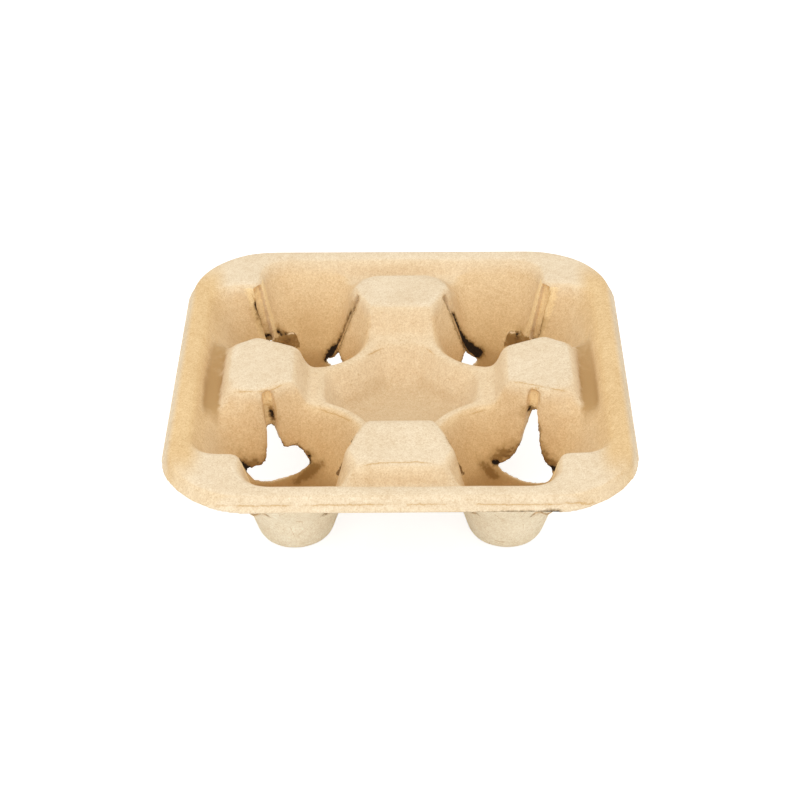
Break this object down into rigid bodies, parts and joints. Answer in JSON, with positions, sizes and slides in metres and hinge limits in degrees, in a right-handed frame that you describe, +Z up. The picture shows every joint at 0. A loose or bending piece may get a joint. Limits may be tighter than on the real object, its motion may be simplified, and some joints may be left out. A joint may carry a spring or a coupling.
{
  "type": "cardboard cup carrier",
  "caption": "Square moulded-pulp tray with round tapered wells that hold drinks cups, raised pillars between them, a middle dish and slit flaps in the well walls.",
  "frame": {"origin": "on the table plane, below the middle of the tray", "axes": "+Z up through the open wells, +X to the right and +Y away from the viewer in the picture"},
  "size_m": [0.215, 0.215, 0.062],
  "materials": {
    "pulp": "matt, fine fibrous pulp"
  },
  "bodies": {
    "root": {"cup_carrier": "pulp"}
  },
  "joints": []
}
